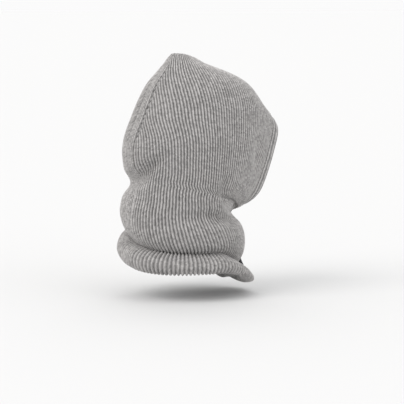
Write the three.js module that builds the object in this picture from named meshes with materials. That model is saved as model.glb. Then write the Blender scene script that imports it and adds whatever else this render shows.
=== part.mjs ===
// A rib-knit hood with a drawcord round the face opening, filled out and drawn in at the throat.
// Millimetres, +Z up. The face opening looks along -Y, and the hood's right side is at negative X.
// The origin is the seat under the inside of the crown that holds the hood up.

import * as THREE from 'three';
import { mergeVertices } from 'three/addons/utils/BufferGeometryUtils.js';

// Knit fabric
const WALL = 3.6;
const RIB_RELIEF = 0.75;
const WALES_PER_HALF = 60;        // ribs from the centre back to the centre front, on each side
const STRIP_WALES = 2;            // ribs on each side of the centre back that run up between the decreases
const STRIP_PITCH = 4.2;
const INNER_STEP = 5;             // the smooth inner wall has one column for this many outer ones
const COURSES_ABOVE_CHIN = 16;

// Folded casing round the face, and the drawcord in it
const CASING_WIDTH = 20;
const CASING_THICKNESS = 10;
const CASING_WALL = 1.8;
const CASING_DROP = 4.2;          // how far the casing's middle lies below the fabric's outer face
const CASING_SIDES = 8;
const CASING_SQUARENESS = 0.75;   // 1 gives an ellipse, and less squares its ends
const CASING_RINGS = 23;          // on each side, from the chin to the middle of the brim
const RIM_SAMPLES = 400;
const MOUTH_HALF_GAP = 9;
const RIM_GAP = 2.6;              // between the fabric's rim and the casing
const FACE_CENTRE = new THREE.Vector3(0, -105, -115);
const FACE_FORWARD = new THREE.Vector3(0, -0.98, -0.19).normalize();
const EDGE_TURN_AT_BRIM = THREE.MathUtils.degToRad(58);
const EDGE_TURN_AT_CHIN = THREE.MathUtils.degToRad(30);
const EDGE_TURN_AT_SIDE = THREE.MathUtils.degToRad(24);
const OPENING_HALF_WIDTH = 62;
const CORD_DIAMETER = 4;
const CORD_SIDES = 8;
const CORD_STEP = 10;
const KNOT_SIDES = 12;
const KNOT_GAP = 1.2;

// The free cord ends, from the casing's mouths down over the collar's roll
const CORD_ROUTES = {
  right: [
    [-5.2, -89.3, -200.8], [-3.6, -89.3, -201.6], [-2.6, -88.4, -205], [-2.4, -85.8, -209.5],
    [-2.2, -83.2, -214.5], [-1.9, -84.2, -219], [-1.3, -89.4, -224.5], [-0.6, -94.8, -232],
    [0, -98, -243], [0, -99.4, -260], [-0.3, -101.6, -279], [0, -104.8, -291],
    [0.4, -109.4, -300], [0.5, -112.6, -308],
  ],
  left: [
    [5.2, -89.3, -200.8], [3.7, -89.3, -201.6], [3.1, -88.4, -205], [3.8, -85.8, -209.5],
    [4.9, -83.4, -214.5], [5.8, -84.6, -219], [6.7, -90.2, -224.5], [7.5, -96, -232],
    [8, -100, -243], [8.3, -103.4, -260], [8.2, -105.4, -277], [8.6, -108.6, -290],
    [9.3, -112.8, -300], [9.8, -115.6, -309],
  ],
};
// Half outline of the plain knot that stops each cord end, with the cord's tail below it
const KNOT_PROFILE = [
  { radius: 0, height: -11 }, { radius: 2, height: -11 }, { radius: 2, height: -4.5 },
  { radius: 4, height: -3.2 }, { radius: 4.7, height: 0 }, { radius: 4, height: 3.2 },
  { radius: 2.2, height: 4.5 }, { radius: 0, height: 4.5 },
];

const KAPPA = 0.5523;             // handle length of a quarter circle as one cubic curve
const EDGE_HANDLE = 0.75;         // the same at the face edge, as a share of that handle
const SEAM_LEAN = 0.35;           // how far the top seam's upright leans to its side, as a slope
const COLOURS = { knit: 0x8f8d8a, casing: 0x8b8986, cord: 0x5b5b5d };

// Sections of the fabric's outer face, from the collar's turned-in hem up to the top seam. Each is a
// half curve from the centre back, past its widest point, to the centre front or the edge of the face
// opening, and the other half mirrors it. "open" turns the curve's end from across the front to along
// the face edge, "tilt" raises the left side, "sway" carries the ribs at the side towards the front, as
// a share of the half section, "bunch" gathers them towards the throat, and "ended" counts the ribs of
// a side panel that have run into the decrease line at the back.
const COLUMNS = [
  'backY', 'backZ', 'sideX', 'sideY', 'sideZ', 'frontX', 'frontY', 'frontZ',
  'open', 'tilt', 'sway', 'bunch', 'ended',
];

// The collar lies in a soft roll. These four rings go round it.
const ROLL = {
  hem:    { backY: 86, backZ: -268, sideX: 80, sideZ: -260, frontY: -85, frontZ: -312, tilt: 0.19 },
  bottom: { backY: 95, backZ: -288, sideX: 89, sideZ: -277, frontY: -97, frontZ: -322, tilt: 0.19 },
  outer:  { backY: 107, backZ: -272, sideX: 101, sideZ: -266, frontY: -109, frontZ: -321, tilt: 0.17 },
  crease: { backY: 81, backZ: -254, sideX: 71, sideZ: -246, frontY: -61, frontZ: -309, tilt: 0.24 },
};
// Quarter arcs from ring to ring: where each starts and ends, and its steps in degrees
const ROLL_ARCS = [
  { reach: 'hem', height: 'bottom', from: 'hem', to: 'bottom', steps: [0, 40] },
  { reach: 'outer', height: 'bottom', from: 'bottom', to: 'outer', steps: [0, 32, 62] },
  { reach: 'outer', height: 'crease', from: 'outer', to: 'crease', steps: [0, 30, 58, 78] },
];
const ROLL_BUNCH = 0.3;
const ROLL_SWAY = -0.025;

const NECK_AND_HEAD = {
  crease:      [81, -256, 71, 0, -248, 0, -60, -310, 0, 0.24, -0.055, 0.32, 0],
  neckLip:     [88, -250, 83, -1, -241, 0, -72, -302, 0, 0.25, -0.06, 0.34, 0],
  neckLower:   [98, -237, 91, -2, -229, 0, -88, -275, 0, 0.25, -0.06, 0.32, 0],
  neckBulge:   [104, -217, 91, -2, -214, 0, -92, -247, 0, 0.24, -0.056, 0.28, 0],
  neckMiddle:  [102, -196, 87, -1, -200, 0, -86, -228, 0, 0.18, -0.052, 0.22, 0],
  neckUpper:   [97, -178, 86, 1, -190, 0, -73, -220, 0, 0.1, -0.036, 0.17, 0],
  throatFold:  [96, -166, 85, 0, -183, 0, -66, -216, 0, 0.04, -0.024, 0.14, 0],
  chin:        [95, -156, 85, -3, -177, 0, -77, -210, 0, 0, -0.024, 0.12, 0],
  jaw:         [96, -148, 85, -8, -171, 31, -82, -203, 0.55, 0, 0.006, 0.1, 0],
  jawCorner:   [98, -139, 86, -11, -162, 53, -88, -184, 0.9, 0, 0.038, 0.08, 0],
  cheek:       [100, -126, 87, -12, -146, 63, -96, -158, 1, 0, 0.057, 0.04, 0],
  earLevel:    [101, -108, 88, -11, -122, 67, -105, -129, 1, 0, 0.061, 0, 0],
  temple:      [96, -86, 87, -10, -95, 66, -115, -99, 1, 0, 0.046, 0, 1],
  brow:        [84, -60, 83, -10, -65, 60, -124, -76, 1, 0, 0.041, 0, 5],
  forehead:    [72, -34, 76, -13, -38, 50, -128, -61, 1, 0, 0.036, 0, 8],
  crownSide:   [60, -10, 64, -20, -13, 38, -127, -51, 1, 0, 0.02, 0, 11],
  crownUpper:  [44, 10, 49, -27, 5, 26, -127, -45, 1, 0, -0.022, 0, 14],
  crownTop:    [30, 28, 28, -34, 16, 13, -126, -41, 1, 0, -0.09, 0, 16],
  topSeam:     [20, 35, 0, -40, 20, 0, -125, -40, 1, 0, -0.165, 0, 18],
};

// Drape folds pressed into the fabric, or out of it where the depth is negative: depth, half width,
// and the line that each follows. A fold on "both" sides is mirrored across the middle.
const FOLDS = [
  { name: 'under the ear to the throat', sides: 'both', depth: 13, width: 13,
    line: [[-80, -2, -160], [-75, -24, -170], [-68, -42, -182], [-48, -60, -197],
      [-12, -72, -208]] },
  { name: 'beside the face edge', sides: 'both', depth: 6, width: 11,
    line: [[-71, -77, -80], [-75, -84, -120], [-70, -82, -160]] },
  { name: 'nape, rising to the right', sides: 'as drawn', depth: 13, width: 12,
    line: [[78, 40, -172], [62, 62, -168], [40, 80, -162], [14, 90, -157], [-14, 90, -149],
      [-37, 88, -133], [-56, 76, -118], [-70, 54, -103]] },
  { name: 'across the side of the neck', sides: 'as drawn', depth: 8, width: 10,
    line: [[-60, 66, -204], [-76, 44, -207], [-84, 2, -212], [-76, -28, -217],
      [-60, -55, -223]] },
  { name: 'soft corner at the back of the crown', sides: 'both', depth: -7, width: 14,
    line: [[0, 34, 28], [0, 14, 37], [0, -9, 36], [0, -30, 22]] },
];

// One section of the collar's roll, on a quarter arc between two rings
function rollSection(arc, degrees) {
  const [from, to] = [ROLL[arc.from], ROLL[arc.to]];
  const angle = THREE.MathUtils.degToRad(degrees);
  const rising = arc.from === 'bottom' ? Math.sin(angle) : 1 - Math.cos(angle);
  const falling = arc.from === 'bottom' ? 1 - Math.cos(angle) : Math.sin(angle);
  const blend = (key) => {
    const isHeight = key.endsWith('Z') || key === 'tilt';
    return THREE.MathUtils.lerp(from[key], to[key], isHeight ? falling : rising);
  };
  return {
    backY: blend('backY'), backZ: blend('backZ'), sideX: blend('sideX'), sideY: -1,
    sideZ: blend('sideZ'), frontX: 0, frontY: blend('frontY'), frontZ: blend('frontZ'),
    open: 0, tilt: blend('tilt'), sway: ROLL_SWAY, bunch: ROLL_BUNCH, ended: 0,
  };
}

const namedSection = (row) => Object.fromEntries(COLUMNS.map((column, i) => [column, row[i]]));
const ROLL_SECTIONS = ROLL_ARCS.flatMap((arc) => arc.steps.map((step) => rollSection(arc, step)));
const STACK = [...ROLL_SECTIONS, ...Object.values(NECK_AND_HEAD).map(namedSection)];
const CHIN_LEVEL = ROLL_SECTIONS.length + Object.keys(NECK_AND_HEAD).indexOf('chin');
const TOP_LEVEL = STACK.length - 1;

// The section at any height: a Catmull-Rom curve through each column of the table
function sectionAt(level) {
  const i = Math.min(Math.floor(level), TOP_LEVEL - 1);
  const t = level - i;
  const rows = [i - 1, i, i + 1, i + 2].map((k) => STACK[THREE.MathUtils.clamp(k, 0, TOP_LEVEL)]);
  const section = {};
  for (const column of COLUMNS) {
    const [a, b, c, d] = rows.map((row) => row[column]);
    section[column] = 0.5 * (2 * b + (c - a) * t + (2 * a - 5 * b + 4 * c - d) * t * t
      + (3 * b - a - 3 * c + d) * t * t * t);
  }
  if (level <= CHIN_LEVEL) {
    section.frontX = 0;
    section.open = 0;
  } else {
    section.tilt = 0;
  }
  for (const column of ['sideX', 'frontX', 'ended']) section[column] = Math.max(section[column], 0);
  return section;
}

// The way the fabric runs where it meets the face edge: forward, and in towards the face
function edgeDirection(rim) {
  const inward = FACE_CENTRE.clone().sub(rim);
  inward.addScaledVector(FACE_FORWARD, -inward.dot(FACE_FORWARD)).normalize();
  const share = Math.min(Math.abs(rim.x) / OPENING_HALF_WIDTH, 1);
  const atMiddle = rim.z < FACE_CENTRE.z ? EDGE_TURN_AT_CHIN : EDGE_TURN_AT_BRIM;
  const turn = THREE.MathUtils.lerp(atMiddle, EDGE_TURN_AT_SIDE, share);
  return FACE_FORWARD.clone().multiplyScalar(Math.cos(turn)).addScaledVector(inward, Math.sin(turn));
}

// The slope at the widest point that lets a section fall or rise evenly from back to front
function evenSlope(back, side, front) {
  const behind = (side.z - back.z) / (back.y - side.y);
  const ahead = (front.z - side.z) / (side.y - front.y);
  return behind * ahead > 0 ? 2 * behind * ahead / (behind + ahead) : 0;
}

// One half of a section, as two cubic curves that meet at its widest point
function sectionCurve(section) {
  const back = new THREE.Vector3(0, section.backY, section.backZ);
  const side = new THREE.Vector3(section.sideX, section.sideY, section.sideZ);
  const front = new THREE.Vector3(section.frontX, section.frontY, section.frontZ);
  const slope = evenSlope(back, side, front);
  const along = (length) => new THREE.Vector3(0, -length, slope * length);
  const behind = KAPPA * (back.y - side.y);
  const ahead = KAPPA * (side.y - front.y);
  const across = new THREE.Vector3(KAPPA * section.sideX, 0, 0);
  const edge = edgeDirection(front).multiplyScalar(-EDGE_HANDLE * ahead);
  const curve = new THREE.CurvePath();
  curve.add(new THREE.CubicBezierCurve3(
    back, back.clone().add(across), side.clone().sub(along(behind)), side));
  curve.add(new THREE.CubicBezierCurve3(
    side, side.clone().add(along(ahead)), front.clone().add(across.lerp(edge, section.open)), front));
  return curve;
}

// Where a rib lies in its half section, from 0 at the centre back to 1 at the front. The side panel's
// ribs stop at the decrease line.
function shareOfWale(section, length, wale) {
  const natural = (1 + section.bunch) * length / WALES_PER_HALF;
  const strip = STRIP_WALES * Math.min(natural, STRIP_PITCH) / length;
  if (wale <= STRIP_WALES) return strip * wale / STRIP_WALES;
  const left = WALES_PER_HALF - STRIP_WALES - section.ended;
  const t = Math.max((wale - STRIP_WALES - section.ended) / left, 0);
  const share = strip + (1 - strip) * ((1 + section.bunch) * t - section.bunch * t ** 3);
  return share + section.sway * 4 * share * (1 - share);
}

// How far a point lies from a line of points, and the share of the line's length at the nearest place
function nearestOnLine(point, line) {
  const at = new THREE.Vector3();
  let [distance, place, travelled] = [Infinity, 0, 0];
  for (let i = 0; i + 1 < line.length; i += 1) {
    const span = new THREE.Line3(line[i], line[i + 1]);
    span.closestPointToPoint(point, true, at);
    if (at.distanceTo(point) < distance) {
      distance = at.distanceTo(point);
      place = travelled + at.distanceTo(line[i]);
    }
    travelled += span.distance();
  }
  return { distance, share: place / travelled };
}

// How deep the drape folds press the fabric in at a point. Each fades towards its line's ends.
function foldDepth(point) {
  let depth = 0;
  for (const fold of FOLDS) {
    const at = point.clone();
    if (fold.sides === 'both') at.x = -Math.abs(at.x);
    const { distance, share } = nearestOnLine(at, fold.line.map((p) => new THREE.Vector3(...p)));
    depth += fold.depth * Math.exp(-((distance / fold.width) ** 2)) * Math.sin(Math.PI * share);
  }
  return depth;
}

const LEVEL_STEP = 0.02;
const SHARE_STEP = 0.004;

// A point of the plain fabric at a signed share: positive on the hood's right, negative on its left,
// and past 1 a closed section carries on round the other side
function pointOn(section, curve, signedShare) {
  let share = signedShare;
  if (share > 1) share -= 2;
  if (share < -1) share += 2;
  const point = curve.getPoint(Math.abs(share));
  if (share > 0) point.x *= -1;
  point.z += section.tilt * point.x;
  return point;
}

// The fabric at one height: its points and outward directions, by share
class Course {
  constructor(level) {
    this.section = sectionAt(level);
    this.curve = sectionCurve(this.section);
    this.length = this.curve.getLength();
    this.under = sectionAt(Math.max(level - LEVEL_STEP, 0));
    this.over = sectionAt(Math.min(level + LEVEL_STEP, TOP_LEVEL));
    this.underCurve = sectionCurve(this.under);
    this.overCurve = sectionCurve(this.over);
    this.isClosed = level <= CHIN_LEVEL;
    this.isSeam = level === TOP_LEVEL;
  }

  at(share) {
    let [next, last] = [share + SHARE_STEP, share - SHARE_STEP];
    if (!this.isClosed) [next, last] = [Math.min(next, 1), Math.max(last, -1)];
    const round = pointOn(this.section, this.curve, next)
      .sub(pointOn(this.section, this.curve, last));
    if (this.isSeam) round.set(0, -Math.sign(share) || 0, 0);
    const rise = pointOn(this.over, this.overCurve, share)
      .sub(pointOn(this.under, this.underCurve, share));
    const outward = round.cross(rise);
    if (this.isSeam) outward.set(0, rise.z > 0 ? SEAM_LEAN : 0, 1);
    outward.normalize();
    const point = pointOn(this.section, this.curve, share);
    point.addScaledVector(outward, -foldDepth(point));
    return { point, outward };
  }

  wale(number) {
    const share = shareOfWale(this.section, this.length, Math.abs(number));
    return this.at(Math.sign(number) * share);
  }
}

// Ribs stand out on odd columns and sink between them. The centre back keeps its own rib, and the ribs
// that have run into the decrease line share its groove.
function relief(wale, course) {
  const column = Math.abs(wale);
  if (column === 0) return RIB_RELIEF;
  if (column === WALES_PER_HALF && !course.isClosed) return 0;
  const hasEnded = column > STRIP_WALES && column <= STRIP_WALES + course.section.ended;
  return column % 2 === 1 && !hasEnded ? RIB_RELIEF : -RIB_RELIEF;
}

// The heights at which the faceted shell has a course
function shellLevels() {
  const levels = Array.from({ length: CHIN_LEVEL }, (_, level) => level);
  for (let i = 0; i <= COURSES_ABOVE_CHIN; i += 1) {
    levels.push(THREE.MathUtils.lerp(CHIN_LEVEL, TOP_LEVEL, i / COURSES_ABOVE_CHIN));
  }
  return levels;
}

// Collects loose triangles and welds them into one closed mesh
class Shell {
  constructor() {
    this.positions = [];
  }

  triangle(a, b, c) {
    for (const corner of [a, b, c]) this.positions.push(corner.x, corner.y, corner.z);
  }

  quad(a, b, c, d) {
    this.triangle(a, b, c);
    this.triangle(a, c, d);
  }

  geometry() {
    const loose = new THREE.BufferGeometry();
    loose.setAttribute('position', new THREE.Float32BufferAttribute(this.positions, 3));
    const welded = mergeVertices(loose, 1e-3);
    const index = welded.getIndex().array;
    const kept = [];
    for (let i = 0; i < index.length; i += 3) {
      const [a, b, c] = [index[i], index[i + 1], index[i + 2]];
      if (a !== b && b !== c && c !== a) kept.push(a, b, c);
    }
    welded.setIndex(kept);
    return welded;
  }
}

// The knitted shell: a ribbed outer wall, a smooth inner wall, and the edges that join them
function hoodGeometry() {
  const shell = new Shell();
  const levels = shellLevels();
  const outer = [];
  const inner = [];
  for (const level of levels) {
    const course = new Course(level);
    const outerRow = [];
    const innerRow = [];
    for (let wale = -WALES_PER_HALF; wale <= WALES_PER_HALF; wale += 1) {
      const { point, outward } = course.wale(wale);
      outerRow.push(point.clone().addScaledVector(outward, relief(wale, course)));
      if (wale % INNER_STEP === 0) innerRow.push(point.clone().addScaledVector(outward, -WALL));
    }
    if (course.isClosed) {
      outerRow[0] = outerRow.at(-1);
      innerRow[0] = innerRow.at(-1);
    }
    if (course.isSeam) for (const point of [...outerRow, ...innerRow]) point.x = 0;
    outer.push(outerRow);
    inner.push(innerRow);
  }

  for (let k = 0; k + 1 < levels.length; k += 1) {
    const [low, high] = [outer[k], outer[k + 1]];
    const [lowIn, highIn] = [inner[k], inner[k + 1]];
    for (let j = 0; j + 1 < low.length; j += 1) shell.quad(low[j], low[j + 1], high[j + 1], high[j]);
    for (let j = 0; j + 1 < lowIn.length; j += 1) {
      shell.quad(lowIn[j + 1], lowIn[j], highIn[j], highIn[j + 1]);
    }
    if (levels[k] >= CHIN_LEVEL) {
      shell.quad(low.at(-1), lowIn.at(-1), highIn.at(-1), high.at(-1));
      shell.quad(lowIn[0], low[0], high[0], highIn[0]);
    }
  }

  const [hem, hemIn] = [outer[0], inner[0]];
  for (let j = 0; j + 1 < hem.length; j += 1) {
    const hub = hemIn[Math.floor(j / INNER_STEP)];
    shell.triangle(hem[j + 1], hem[j], hub);
    if ((j + 1) % INNER_STEP === 0) {
      shell.triangle(hem[j + 1], hub, hemIn[(j + 1) / INNER_STEP]);
    }
  }
  return shell.geometry();
}

// The right half of the face edge as a moving frame: a point of the rim, forward and outward
function rimFrame(level) {
  const point = new Course(level).at(1).point;
  const before = new Course(Math.max(level - LEVEL_STEP, CHIN_LEVEL)).at(1).point;
  const after = new Course(Math.min(level + LEVEL_STEP, TOP_LEVEL)).at(1).point;
  const along = level === TOP_LEVEL ? new THREE.Vector3(1, 0, 0) : after.sub(before).normalize();
  const forward = edgeDirection(point);
  forward.addScaledVector(along, -forward.dot(along)).normalize();
  const outward = forward.clone().cross(along).normalize();
  return { point, forward, outward };
}

const casingCentre = (frame) => frame.point.clone()
  .addScaledVector(frame.forward, CASING_WIDTH / 2 + RIM_GAP)
  .addScaledVector(frame.outward, -CASING_DROP);

// The casing's frames, evenly spaced along the rim from the right mouth to the middle of the brim
function casingFrames() {
  const samples = [];
  let travelled = 0;
  for (let i = 0; i <= RIM_SAMPLES; i += 1) {
    const level = THREE.MathUtils.lerp(CHIN_LEVEL, TOP_LEVEL, i / RIM_SAMPLES);
    const at = new Course(level).at(1).point;
    if (samples.length) travelled += at.distanceTo(samples.at(-1).at);
    samples.push({ level, travelled, at });
  }
  const mouth = samples.find((sample) => -sample.at.x >= MOUTH_HALF_GAP).travelled;
  return Array.from({ length: CASING_RINGS }, (_, ring) => {
    if (ring === CASING_RINGS - 1) return rimFrame(TOP_LEVEL);
    const wanted = THREE.MathUtils.lerp(mouth, travelled, ring / (CASING_RINGS - 1));
    return rimFrame(samples.find((sample) => sample.travelled >= wanted).level);
  });
}

// A flattened round section with softly squared ends, which reaches its full width and thickness
function ovalPoint(frame, index, width, thickness) {
  const squared = (value) => Math.sign(value) * Math.abs(value) ** CASING_SQUARENESS;
  const reach = squared(Math.cos(Math.PI / CASING_SIDES));
  const angle = (index + 0.5) / CASING_SIDES * 2 * Math.PI;
  return casingCentre(frame)
    .addScaledVector(frame.forward, squared(Math.cos(angle)) / reach * width / 2)
    .addScaledVector(frame.outward, squared(Math.sin(angle)) / reach * thickness / 2);
}

const mirror = (p) => new THREE.Vector3(-p.x, p.y, p.z);

// The folded casing: a hollow channel from the right mouth, round the face, to the left mouth
function casingGeometry(frames) {
  const shell = new Shell();
  const ringsOf = (width, thickness) => {
    const right = frames.map((frame) => Array.from(
      { length: CASING_SIDES }, (_, i) => ovalPoint(frame, i, width, thickness)));
    for (const point of right.at(-1)) point.x = 0;
    const left = right.slice(0, -1).reverse().map((ring) => ring.map(mirror));
    return [...right, ...left];
  };
  const outer = ringsOf(CASING_WIDTH, CASING_THICKNESS);
  const inner = ringsOf(CASING_WIDTH - 2 * CASING_WALL, CASING_THICKNESS - 2 * CASING_WALL);
  for (let k = 0; k + 1 < outer.length; k += 1) {
    for (let i = 0; i < CASING_SIDES; i += 1) {
      const j = (i + 1) % CASING_SIDES;
      shell.quad(outer[k][j], outer[k][i], outer[k + 1][i], outer[k + 1][j]);
      shell.quad(inner[k][i], inner[k][j], inner[k + 1][j], inner[k + 1][i]);
    }
  }
  for (let i = 0; i < CASING_SIDES; i += 1) {
    const j = (i + 1) % CASING_SIDES;
    shell.quad(outer[0][i], outer[0][j], inner[0][j], inner[0][i]);
    shell.quad(outer.at(-1)[j], outer.at(-1)[i], inner.at(-1)[i], inner.at(-1)[j]);
  }
  return shell.geometry();
}

// A cord of many-sided section along a curve through the given points
function cordGeometry(points) {
  const path = new THREE.CatmullRomCurve3(points, false, 'centripetal');
  const section = new THREE.Shape(Array.from({ length: CORD_SIDES }, (_, i) => {
    const angle = i / CORD_SIDES * 2 * Math.PI;
    return new THREE.Vector2(Math.cos(angle), Math.sin(angle)).multiplyScalar(CORD_DIAMETER / 2);
  }));
  const steps = Math.round(path.getLength() / CORD_STEP);
  return new THREE.ExtrudeGeometry(section, { extrudePath: path, steps, bevelEnabled: false });
}

// The hidden run of the drawcord, along the middle of the casing from mouth to mouth
function cordRunGeometry(frames) {
  const right = frames.map(casingCentre);
  right.at(-1).x = 0;
  const left = right.slice(0, -1).reverse().map(mirror);
  return cordGeometry([...right, ...left]);
}

// A plain knot below the end of a cord route
function knotGeometry(route) {
  const profile = KNOT_PROFILE.map(({ radius, height }) => new THREE.Vector2(radius, height));
  const top = KNOT_PROFILE.at(-1).height;
  const [x, y, z] = route.at(-1);
  return new THREE.LatheGeometry(profile, KNOT_SIDES)
    .rotateX(Math.PI / 2)
    .translate(x, y, z - KNOT_GAP - top);
}

function named(name, geometry, colour) {
  const material = new THREE.MeshStandardMaterial({ color: colour, roughness: 0.95, metalness: 0 });
  const mesh = new THREE.Mesh(geometry, material);
  mesh.name = name;
  return mesh;
}

const hood = new THREE.Group();
const frames = casingFrames();
hood.add(named('hood_body', hoodGeometry(), COLOURS.knit));
hood.add(named('face_casing', casingGeometry(frames), COLOURS.casing));
hood.add(named('drawcord_run', cordRunGeometry(frames), COLOURS.cord));
for (const [side, route] of Object.entries(CORD_ROUTES)) {
  const points = route.map((point) => new THREE.Vector3(...point));
  hood.add(named(`drawcord_${side}`, cordGeometry(points), COLOURS.cord));
  hood.add(named(`cord_knot_${side}`, knotGeometry(route), COLOURS.cord));
}

export default hood;
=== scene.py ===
import logging
import math
from dataclasses import dataclass, field
from enum import Enum

import bmesh
import bpy
import numpy as np
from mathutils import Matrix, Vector


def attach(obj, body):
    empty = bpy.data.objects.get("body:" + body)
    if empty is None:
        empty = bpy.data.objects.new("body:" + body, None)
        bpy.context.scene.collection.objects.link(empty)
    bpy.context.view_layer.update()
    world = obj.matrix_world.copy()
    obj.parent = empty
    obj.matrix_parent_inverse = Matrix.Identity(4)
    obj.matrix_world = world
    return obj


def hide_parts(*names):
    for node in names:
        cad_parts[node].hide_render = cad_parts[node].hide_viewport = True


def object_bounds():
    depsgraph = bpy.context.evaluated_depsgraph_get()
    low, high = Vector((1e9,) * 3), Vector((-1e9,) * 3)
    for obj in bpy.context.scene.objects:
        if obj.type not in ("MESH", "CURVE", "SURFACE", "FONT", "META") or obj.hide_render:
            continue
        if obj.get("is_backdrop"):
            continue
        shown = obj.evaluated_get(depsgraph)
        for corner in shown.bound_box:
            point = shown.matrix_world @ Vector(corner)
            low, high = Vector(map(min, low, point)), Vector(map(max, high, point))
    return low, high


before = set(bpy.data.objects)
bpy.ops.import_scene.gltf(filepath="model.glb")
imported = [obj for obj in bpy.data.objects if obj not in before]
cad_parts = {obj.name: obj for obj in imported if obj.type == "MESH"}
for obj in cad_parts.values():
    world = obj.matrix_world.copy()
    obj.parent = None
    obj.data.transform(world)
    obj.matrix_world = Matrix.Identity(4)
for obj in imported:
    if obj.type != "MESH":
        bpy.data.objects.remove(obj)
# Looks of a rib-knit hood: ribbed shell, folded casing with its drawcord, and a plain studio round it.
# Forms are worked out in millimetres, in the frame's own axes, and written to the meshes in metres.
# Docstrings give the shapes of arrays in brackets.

LOG = logging.getLogger("knit_hood")
MM = 0.001
MERGE_DISTANCE = 2e-6
TINY = 1e-12
CURVE_STEPS = 24
Array, Piece, Tree = np.ndarray, bpy.types.Object, bpy.types.NodeTree
Triple = tuple[float, float, float]
BODY = "root"

# The form's table, one section of the fabric's outer face in each row, from the collar's hem upwards
COLUMNS = (
    "back_y", "back_z", "side_x", "side_y", "side_z", "front_x", "front_y", "front_z",
    "open", "tilt", "sway", "bunch", "ended",
)
NECK_AND_HEAD = {
    "crease": (81, -256, 71, 0, -248, 0, -60, -310, 0, 0.24, -0.055, 0.32, 0),
    "neck_lip": (88, -250, 83, -1, -241, 0, -72, -302, 0, 0.25, -0.06, 0.34, 0),
    "neck_lower": (98, -237, 91, -2, -229, 0, -88, -275, 0, 0.25, -0.06, 0.32, 0),
    "neck_bulge": (104, -217, 91, -2, -214, 0, -92, -247, 0, 0.24, -0.056, 0.28, 0),
    "neck_middle": (102, -196, 87, -1, -200, 0, -86, -228, 0, 0.18, -0.052, 0.22, 0),
    "neck_upper": (97, -178, 86, 1, -190, 0, -73, -220, 0, 0.1, -0.036, 0.17, 0),
    "throat_fold": (96, -166, 85, 0, -183, 0, -66, -216, 0, 0.04, -0.024, 0.14, 0),
    "chin": (95, -156, 85, -3, -177, 0, -77, -210, 0, 0, -0.024, 0.12, 0),
    "jaw": (96, -148, 85, -8, -171, 31, -82, -203, 0.55, 0, 0.006, 0.1, 0),
    "jaw_corner": (98, -139, 86, -11, -162, 53, -88, -184, 0.9, 0, 0.038, 0.08, 0),
    "cheek": (100, -126, 87, -12, -146, 63, -96, -158, 1, 0, 0.057, 0.04, 0),
    "ear_level": (101, -108, 88, -11, -122, 67, -105, -129, 1, 0, 0.061, 0, 0),
    "temple": (96, -86, 87, -10, -95, 66, -115, -99, 1, 0, 0.046, 0, 1),
    "brow": (84, -60, 83, -10, -65, 60, -124, -76, 1, 0, 0.041, 0, 5),
    "forehead": (72, -34, 76, -13, -38, 50, -128, -61, 1, 0, 0.036, 0, 8),
    "crown_side": (60, -10, 64, -20, -13, 38, -127, -51, 1, 0, 0.02, 0, 11),
    "crown_upper": (44, 10, 49, -27, 5, 26, -127, -45, 1, 0, -0.022, 0, 14),
    "crown_top": (30, 28, 28, -34, 16, 13, -126, -41, 1, 0, -0.09, 0, 16),
    "top_seam": (20, 35, 0, -40, 20, 0, -125, -40, 1, 0, -0.165, 0, 18),
}
RING_COLUMNS = ("back_y", "back_z", "side_x", "side_z", "front_y", "front_z", "tilt")
ROLL_RINGS = {
    "hem": (86, -268, 80, -260, -85, -312, 0.19),
    "bottom": (95, -288, 89, -277, -97, -322, 0.19),
    "outer": (107, -272, 101, -266, -109, -321, 0.17),
    "crease": (81, -254, 71, -246, -61, -309, 0.24),
}
# Quarter arcs between the rings, with the steps in degrees at which each has a section
ROLL_ARCS = (
    ("hem", "bottom", (0, 40)),
    ("bottom", "outer", (0, 32, 62)),
    ("outer", "crease", (0, 30, 58, 78)),
)
ROLL_SIDE_Y = -1
ROLL_BUNCH = 0.3
ROLL_SWAY = -0.025
# Handle length of a quarter circle as one cubic curve, and the share of it at the face edge
KAPPA = 0.5523
EDGE_HANDLE = 0.75


class Sides(Enum):
    """Where a drape fold lies: on both sides alike, or only along its own line."""

    BOTH = "both"
    AS_DRAWN = "as drawn"


@dataclass(frozen=True)
class Fold:
    """A drape fold pressed into the fabric, or out of it where the depth is negative, in millimetres."""

    sides: Sides
    depth: float
    width: float
    line: tuple[Triple, ...]


# Those that shape the solid part too: under the ear to the throat, beside the face edge, at the nape
# where it rises to the right, across the side of the neck, and at the back corner of the crown
FOLDS = (
    Fold(Sides.BOTH, 13, 13,
         ((-80, -2, -160), (-75, -24, -170), (-68, -42, -182), (-48, -60, -197), (-12, -72, -208))),
    Fold(Sides.BOTH, 6, 11, ((-71, -77, -80), (-75, -84, -120), (-70, -82, -160))),
    Fold(Sides.AS_DRAWN, 13, 12,
         ((78, 40, -172), (62, 62, -168), (40, 80, -162), (14, 90, -157), (-14, 90, -149),
          (-37, 88, -133), (-56, 76, -118), (-70, 54, -103))),
    Fold(Sides.AS_DRAWN, 8, 10,
         ((-60, 66, -204), (-76, 44, -207), (-84, 2, -212), (-76, -28, -217), (-60, -55, -223))),
    Fold(Sides.BOTH, -7, 14, ((0, 34, 28), (0, 14, 37), (0, -9, 36), (0, -30, 22))),
    # Fine ones of the looks alone: behind the jaw, across the throat's side, and a swell below that
    Fold(Sides.BOTH, 7, 8,
         ((-86, -24, -144), (-85, -17, -160), (-83, -17, -176), (-79, -24, -190), (-62, -46, -204))),
    Fold(Sides.AS_DRAWN, 5, 6.5,
         ((-79, 36, -199), (-83, 10, -203), (-84, -12, -207), (-80, -28, -214), (-68, -48, -224))),
    Fold(Sides.AS_DRAWN, -2.5, 7, ((-82, 30, -212), (-88, 8, -216), (-86, -14, -223), (-80, -30, -234))),
)


def unit(vectors: Array) -> Array:
    """Scales vectors on the last axis to length one, and leaves zero vectors as they are."""
    length = np.linalg.norm(vectors, axis=-1, keepdims=True)
    return vectors / np.where(length > TINY, length, 1.0)


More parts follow.
